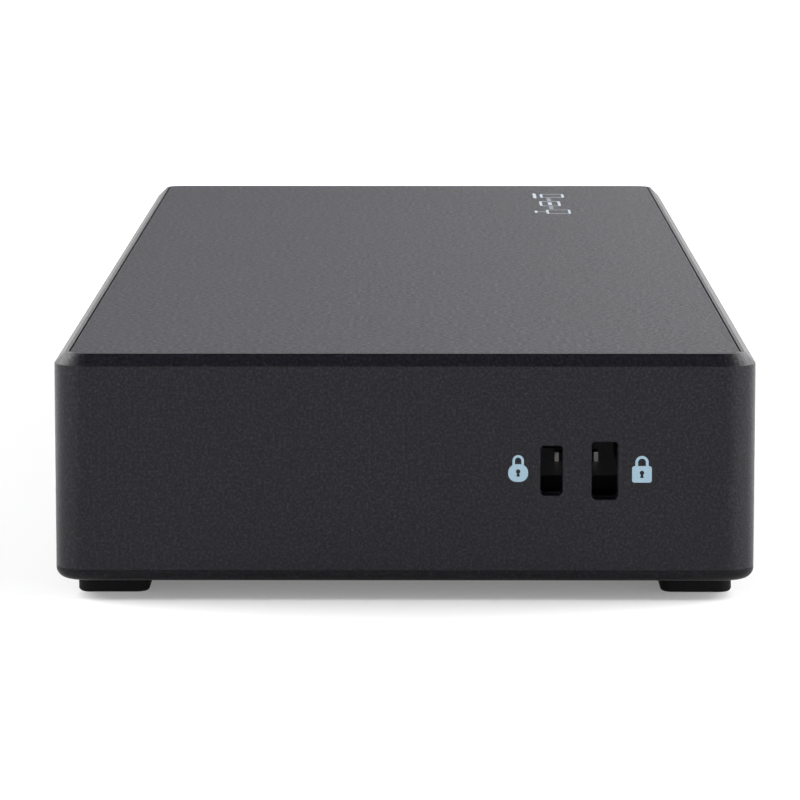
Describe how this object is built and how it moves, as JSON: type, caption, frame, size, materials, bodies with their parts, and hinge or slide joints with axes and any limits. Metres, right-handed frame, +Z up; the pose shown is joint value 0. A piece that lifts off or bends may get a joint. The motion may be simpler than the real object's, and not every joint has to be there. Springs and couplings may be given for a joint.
{
  "type": "laptop docking station",
  "caption": "Flat desktop docking station: a dark box with an inset top plate, lock slots in one end, and ports, a power button and a card slot along its two long sides.",
  "frame": {"origin": "on the desk, under the middle of the box", "axes": "+X along the length, from the user's left to right, +Y from the front to the rear, +Z up"},
  "size_m": [0.225, 0.085, 0.03],
  "materials": {
    "housing_plastic": "fine-grained satin, very dark warm grey",
    "top_skin": "fine-grained satin, dark grey",
    "cover_plastic": "fine spark texture, near black",
    "panel_plastic": "fine spark texture, black",
    "foot_rubber": "matt black",
    "adhesive": "black foam tape",
    "label_film": "satin grey film, blank",
    "screw_steel": "zinc plated",
    "insert_brass": "machined",
    "button_plastic": "satin black",
    "light_guide": "clear acrylic",
    "lamp": "diffuse white resin",
    "port_steel": "nickel plated",
    "usb_a_plastic": "moulded, blue",
    "port_plastic": "moulded, black",
    "contact_metal": "gold plated",
    "slider_plastic": "moulded, off-white",
    "spring_steel": "bright wire",
    "board_laminate": "black solder mask",
    "chip_resin": "moulded epoxy, black",
    "solder_tin": "bright tin",
    "pad_silicone": "soft silicone pad, grey",
    "heatsink_metal": "extruded, plain",
    "can_metal": "drawn can",
    "bracket_steel": "dark zinc sheet",
    "marking_ink": "printed pale blue-grey"
  },
  "bodies": {
    "dock": {"housing": "housing_plastic", "top_plate": "top_skin", "bottom_cover": "cover_plastic", "front_panel": "panel_plastic", "rear_panel": "panel_plastic", "foot_front_left": "foot_rubber", "foot_front_right": "foot_rubber", "foot_rear_left": "foot_rubber", "foot_rear_right": "foot_rubber", "top_plate_adhesive": "adhesive", "rating_label": "label_film", "cover_screws": "screw_steel", "board_screws": "screw_steel", "heatsink_screws": "screw_steel", "lock_bracket_screws": "screw_steel", "housing_inserts": "insert_brass", "bracket_inserts": "insert_brass", "status_light_guide": "light_guide", "status_lamp": "lamp", "ethernet_lights": "lamp", "front_usb_a_shell": "port_steel", "rear_usb_a_1_shell": "port_steel", "rear_usb_a_2_shell": "port_steel", "rear_usb_a_3_shell": "port_steel", "host_usb_c_shell": "port_steel", "rear_usb_c_1_shell": "port_steel", "rear_usb_c_2_shell": "port_steel", "rear_usb_c_3_shell": "port_steel", "ethernet_jack_shield": "port_steel", "card_socket_cover": "port_steel", "front_usb_a_tongue": "usb_a_plastic", "rear_usb_a_1_tongue": "usb_a_plastic", "rear_usb_a_2_tongue": "usb_a_plastic", "rear_usb_a_3_tongue": "usb_a_plastic", "host_usb_c_tongue": "port_plastic", "rear_usb_c_1_tongue": "port_plastic", "rear_usb_c_2_tongue": "port_plastic", "rear_usb_c_3_tongue": "port_plastic", "ethernet_jack_insert": "port_plastic", "dc_inlet_body": "port_plastic", "audio_jack_body": "port_plastic", "card_socket_tray": "port_plastic", "button_switch_body": "port_plastic", "ethernet_contacts": "contact_metal", "dc_inlet_pin": "contact_metal", "audio_jack_bushing": "contact_metal", "card_slider_spring": "spring_steel", "main_board": "board_laminate", "controller_chip": "chip_resin", "hub_chips": "chip_resin", "power_inductors": "chip_resin", "input_fuse": "chip_resin", "input_fuse_caps": "solder_tin", "thermal_pads": "pad_silicone", "heatsink": "heatsink_metal", "can_capacitors": "can_metal", "lock_bracket": "bracket_steel"},
    "power_key": {"power_button": "button_plastic"},
    "switch_plunger": {"button_switch_plunger": "slider_plastic"},
    "card_catch": {"card_slider": "slider_plastic"}
  },
  "joints": [
    {"name": "power_button_press", "type": "slide", "parent": "dock", "child": "power_key", "axis": [0, 1, 0], "range_m": [0, 0.0005], "stiffness_N_per_m": 2000, "springref_m": -0.0003},
    {"name": "switch_plunger_press", "type": "slide", "parent": "dock", "child": "switch_plunger", "axis": [0, 1, 0], "range_m": [0, 0.0005]},
    {"name": "card_catch_slide", "type": "slide", "parent": "dock", "child": "card_catch", "axis": [0, 1, 0], "range_m": [0, 0.003], "stiffness_N_per_m": 200, "springref_m": -0.001, "deforming": ["card_slider_spring"]}
  ],
  "couplings": [
    {"joint": "switch_plunger_press", "follows": "power_button_press", "ratio": 1}
  ]
}
